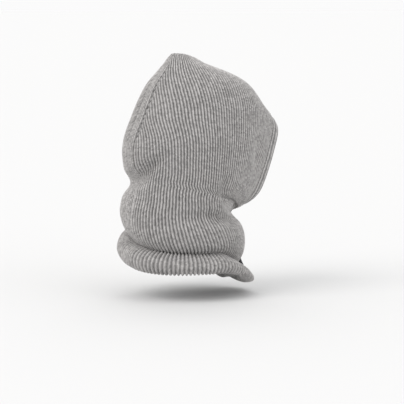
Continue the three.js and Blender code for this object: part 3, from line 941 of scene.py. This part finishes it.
def add_node(tree: Tree, kind: str, inputs: dict | None = None,
             **settings: object) -> bpy.types.Node:
    """Adds a shader node.

    Args:
        tree: the node tree.
        kind: the node's type, without the words that all of them start with.
        inputs: as for feed().
        **settings: the node's own properties, set before its inputs.

    Returns:
        The node.
    """
    node = tree.nodes.new("ShaderNode" + kind)
    for key, value in settings.items():
        setattr(node, key, value)
    feed(tree, node, inputs or {})
    return node


def math_node(tree: Tree, operation: str, *values: object) -> bpy.types.NodeSocket:
    """Adds a Math node that reads the values, sockets or numbers, and returns its output."""
    return add_node(tree, "Math", dict(enumerate(values)), operation=operation).outputs[0]


def surface_shader(material: bpy.types.Material) -> bpy.types.Node:
    """Turns on a new material's nodes and returns its surface shader."""
    material.use_nodes = True
    return next(n for n in material.node_tree.nodes if n.type == "BSDF_PRINCIPLED")


def new_group(name: str, inputs: dict[str, float], outputs: tuple[str, ...],
              vector: str | None = None) -> tuple[Tree, dict, dict]:
    """Starts a shader node group.

    Args:
        name: the group's name.
        inputs: its number inputs and their usual values.
        outputs: its number outputs.
        vector: the name of a vector input, if it has one.

    Returns:
        The tree, its inner input sockets by name and its inner output sockets by name.
    """
    tree = bpy.data.node_groups.new(name, "ShaderNodeTree")
    if vector:
        tree.interface.new_socket(vector, in_out="INPUT", socket_type="NodeSocketVector")
    for key, value in inputs.items():
        socket = tree.interface.new_socket(key, in_out="INPUT", socket_type="NodeSocketFloat")
        socket.default_value = value
    for key in outputs:
        tree.interface.new_socket(key, in_out="OUTPUT", socket_type="NodeSocketFloat")
    source, sink = tree.nodes.new("NodeGroupInput"), tree.nodes.new("NodeGroupOutput")
    return tree, {s.name: s for s in source.outputs}, {s.name: s for s in sink.inputs}


# Powers that round a stitch's legs and the valley between them
LEG_ROUNDNESS = 0.6
VALLEY_ROUNDNESS = 0.7
# What the yarn's tone is mixed from, and how its bloom and its shine spread
FIBRE_SHARE, PATCH_SHARE, STITCH_SHARE = 0.3, 0.2, 0.5
SHEEN_ROUGHNESS = 0.55
SPECULAR = 0.25


def stitch_group() -> Tree:
    """Builds the group that raises knitted stitches and gives each its own tone.

    Across a rib, f runs from 0 to 1. Each stitch is a V of two legs, whose height is a cosine of the
    course number less a slant times |f - 0.5|, with a shallow valley between the legs. A heathered
    yarn changes its tone from one leg to the next.
    """
    tree, inputs, outputs = new_group("knit_stitches", {"Slant": 1.3}, ("Height", "Tone"), "UV")
    split = add_node(tree, "SeparateXYZ", {0: inputs["UV"]})
    f = math_node(tree, "FRACT", split.outputs[0])
    from_middle = math_node(tree, "ABSOLUTE", math_node(tree, "SUBTRACT", f, 0.5))
    slanted = math_node(tree, "SUBTRACT", split.outputs[1],
                        math_node(tree, "MULTIPLY", from_middle, inputs["Slant"]))
    wave = math_node(tree, "COSINE", math_node(tree, "MULTIPLY", slanted, 2 * math.pi))
    wave = math_node(tree, "POWER", math_node(tree, "MULTIPLY_ADD", wave, 0.5, 0.5), LEG_ROUNDNESS)
    legs = math_node(tree, "SINE", math_node(tree, "MULTIPLY", from_middle, 2 * math.pi))
    legs = math_node(tree, "POWER", math_node(tree, "ABSOLUTE", legs), VALLEY_ROUNDNESS)
    tree.links.new(math_node(tree, "MULTIPLY", wave, legs), outputs["Height"])
    leg = math_node(tree, "FLOOR", math_node(tree, "MULTIPLY", split.outputs[0], 2.0))
    cell = add_node(tree, "CombineXYZ", {0: leg, 1: math_node(tree, "FLOOR", slanted)})
    chance = add_node(tree, "TexWhiteNoise", {"Vector": cell.outputs[0]}, noise_dimensions="2D")
    tree.links.new(chance.outputs["Value"], outputs["Tone"])
    return tree


def fibre_group() -> Tree:
    """Builds the group that mottles a heathered yarn, with fine fibres and broad, faint patches."""
    tree, inputs, outputs = new_group("heather_yarn", {"Fibre": 700.0, "Patch": 22.0},
                                      ("Fibres", "Patches"), "Place")
    for key, output, detail, rough in (("Fibre", "Fibres", 5.0, 0.7), ("Patch", "Patches", 2.0, 0.5)):
        noise = add_node(tree, "TexNoise", {"Vector": inputs["Place"], "Scale": inputs[key],
                                            "Detail": detail, "Roughness": rough})
        tree.links.new(noise.outputs[0], outputs[output])
    return tree


@dataclass(frozen=True)
class YarnFinish:
    """A matt yarn: its colour on crests, painted shade in grooves, mottling, bump and bloom."""

    name: str
    slot: str
    groove_shade: Triple
    crest: Triple
    mottle: float
    fibre_scale: float
    stitch_depth: float
    fibre_depth: float
    sheen: float
    roughness: float = 0.93
    stitched: bool = True

    def material(self, stitches: Tree, fibres: Tree) -> bpy.types.Material:
        """Builds the material.

        Args:
            stitches: the stitch group.
            fibres: the yarn group.

        Returns:
            The material, whose colour follows the piece's "rib" attribute, with painted shade towards
            the grooves.
        """
        material = bpy.data.materials.new(self.name)
        shader = surface_shader(material)
        tree = material.node_tree
        place = add_node(tree, "TexCoord").outputs["Object"]
        uv = add_node(tree, "UVMap", uv_map="knit").outputs[0]
        rib = add_node(tree, "Attribute", attribute_name="rib").outputs["Fac"]
        yarn = add_node(tree, "Group", node_tree=fibres)
        feed(tree, yarn, {"Place": place, "Fibre": self.fibre_scale})
        knit = add_node(tree, "Group", node_tree=stitches)
        feed(tree, knit, {"UV": uv})

        # Painted shade: the colour darkens from the crest colour to the groove shade along the rib
        # attribute.
        ramp = add_node(tree, "MapRange", {"From Min": -1.0, "Value": rib})
        colour = add_node(tree, "Mix", {
            "Factor": ramp.outputs[0], "A": (*self.groove_shade, 1.0), "B": (*self.crest, 1.0),
        }, data_type="RGBA")
        spread = math_node(tree, "MULTIPLY", yarn.outputs["Fibres"], FIBRE_SHARE)
        spread = math_node(tree, "MULTIPLY_ADD", yarn.outputs["Patches"], PATCH_SHARE, spread)
        spread = math_node(tree, "MULTIPLY_ADD", knit.outputs["Tone"], STITCH_SHARE, spread)
        tone = math_node(tree, "MULTIPLY_ADD", spread, 2 * self.mottle, 1 - self.mottle)
        mottled = add_node(tree, "VectorMath", {0: colour.outputs["Result"], "Scale": tone},
                           operation="SCALE")

        height = math_node(tree, "MULTIPLY", yarn.outputs["Fibres"], self.fibre_depth)
        if self.stitched:
            stitch = knit.outputs["Height"]
            height = math_node(tree, "MULTIPLY_ADD", stitch, self.stitch_depth, height)
        bump = add_node(tree, "Bump", {"Strength": 1.0, "Distance": MM, "Height": height})
        feed(tree, shader, {
            "Roughness": self.roughness, "Sheen Weight": self.sheen, "Sheen Roughness": SHEEN_ROUGHNESS,
            "Specular IOR Level": SPECULAR, "Base Color": mottled.outputs[0], "Normal": bump.outputs[0],
        })
        return material


# Each finish's first colour is painted shade in the grooves between ribs or braid strands, and the
# second is the yarn's own colour. The thread has the same in both.
GREY_GROOVE_SHADE = (0.13, 0.126, 0.125)
KNIT = YarnFinish("grey_rib_knit", "knit", GREY_GROOVE_SHADE, (0.47, 0.455, 0.447), 0.5, 900.0, 0.35, 0.25, 0.25)
INSIDE = YarnFinish("grey_rib_knit_inside", "knit", GREY_GROOVE_SHADE, (0.44, 0.43, 0.42), 0.5, 900.0,
                    0.35, 0.25, 0.2)
THREAD = YarnFinish("seam_thread", "knit", (0.33, 0.32, 0.31), (0.33, 0.32, 0.31), 0.1, 1500.0,
                    0.0, 0.1, 0.1, stitched=False)
CORD = YarnFinish("dark_braid", "cord", (0.035, 0.035, 0.038), (0.095, 0.093, 0.097), 0.15, 1600.0,
                  0.0, 0.12, 0.15, stitched=False)


# What light() takes, for each light
LIGHTS = (
    ("key", (-1.5, 1.6, 1.4), 40.0, 1.22, (1.0, 0.985, 0.97)),
    ("fill", (1.6, 0.5, 1.6), 55.0, 0.42, (0.97, 0.98, 1.0)),
    ("back", (0.0, 1.7, -1.5), 50.0, 0.74, (1.0, 1.0, 1.0)),
)


@dataclass
class Studio:
    """A pale floor, soft lights and the camera at the photograph's angle."""

    azimuth: float = 236.0
    elevation: float = 6.0
    distance: float = 3.0
    pixel: float = 0.00155
    image: int = 404
    origin_pixel: tuple[float, float] = (185.0, 78.0)
    sensor: float = 36.0
    clip_end: float = 100.0
    floor_drop: float = 0.012
    floor_reach: float = 60.0
    floor_tone: float = 0.68
    room_tone: float = 0.966

    def directions(self) -> tuple[Vector, Vector, Vector]:
        """Gives the camera's way to the right, up and towards the eye."""
        a, e = math.radians(self.azimuth), math.radians(self.elevation)
        right = Vector((math.cos(a), math.sin(a), 0.0))
        eye = Vector((math.sin(a) * math.cos(e), -math.cos(a) * math.cos(e), math.sin(e)))
        return right, eye.cross(right), eye

    def camera(self) -> None:
        """Points a long lens at the middle of the photograph's frame."""
        right, up, eye = self.directions()
        middle = self.image / 2
        across, down = middle - self.origin_pixel[0], middle - self.origin_pixel[1]
        target = (right * across - up * down) * self.pixel
        camera = bpy.data.cameras.new("camera")
        camera.sensor_width = self.sensor
        camera.lens = self.sensor * self.distance / (self.image * self.pixel)
        camera.clip_end = self.clip_end
        view = bpy.data.objects.new("camera", camera)
        view.location = target + eye * self.distance
        view.rotation_euler = (-eye).to_track_quat("-Z", "Y").to_euler()
        bpy.context.scene.collection.objects.link(view)
        bpy.context.scene.camera = view

    def light(self, name: str, way: Triple, spread: float, strength: float, colour: Triple) -> None:
        """Adds one large, far light, which falls on the floor evenly.

        Args:
            name: its name.
            way: the way to it, along the view's right, up and depth.
            spread: its width as the part sees it, in degrees.
            strength: its power, in watts a square metre.
            colour: its colour.
        """
        lamp = bpy.data.lights.new(name, "SUN")
        lamp.angle = math.radians(spread)
        lamp.energy = strength
        lamp.color = colour
        holder = bpy.data.objects.new(name, lamp)
        towards = sum((axis * share for axis, share in zip(self.directions(), way)), Vector())
        holder.rotation_euler = towards.to_track_quat("Z", "Y").to_euler()
        bpy.context.scene.collection.objects.link(holder)

    def floor(self) -> None:
        """Lays a wide pale floor just below the part."""
        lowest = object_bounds()[0][2]
        across = np.linspace(-self.floor_reach, self.floor_reach, 3)
        x, y = np.meshgrid(across, across)
        points = vec(x, y, lowest - self.floor_drop) / MM
        floor = make_piece("floor", points, points[..., :2])
        material = bpy.data.materials.new("pale_floor")
        tone = (self.floor_tone, self.floor_tone, self.floor_tone, 1.0)
        shader = surface_shader(material)
        feed(material.node_tree, shader,
             {"Base Color": tone, "Roughness": 1.0, "Specular IOR Level": 0.0})
        floor.data.materials.append(material)
        floor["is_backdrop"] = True

    def build(self) -> None:
        """Sets up the camera, the floor, the world and the lights."""
        self.camera()
        self.floor()
        scene = bpy.context.scene
        scene.view_settings.view_transform = "Standard"
        world = bpy.data.worlds.new("pale_room")
        world.use_nodes = True
        feed(world.node_tree, world.node_tree.nodes["Background"],
             {"Color": (1.0, 1.0, 1.0, 1.0), "Strength": self.room_tone})
        scene.world = world
        for row in LIGHTS:
            self.light(*row)


def finish_piece(piece: Piece, material: bpy.types.Material) -> None:
    """Gives a piece its material and lets it ride on the hood's one body."""
    piece.data.materials.append(material)
    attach(piece, BODY)
    LOG.info("%s: %d faces", piece.name, len(piece.data.polygons))


def main() -> None:
    """Builds the hood's looks in order."""
    logging.basicConfig(level=logging.INFO, format="%(name)s %(message)s")
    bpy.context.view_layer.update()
    Studio().build()
    form = HoodForm()
    casing = FaceCasing(form)
    stitches, fibres = stitch_group(), fibre_group()
    materials = {f.name: f.material(stitches, fibres) for f in (KNIT, INSIDE, THREAD, CORD)}

    for piece in Drawcord(casing).build():
        finish_piece(piece, materials[CORD.name])
    for piece in HoodShell(form).build():
        finish = INSIDE if piece.name.startswith("inner") else KNIT
        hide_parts("hood_body")
        finish_piece(piece, materials[finish.name])
    for piece in casing.build():
        finish = THREAD if piece.name == "casing_stitches" else KNIT
        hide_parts("face_casing")
        finish_piece(piece, materials[finish.name])


if __name__ == "__main__":
    main()
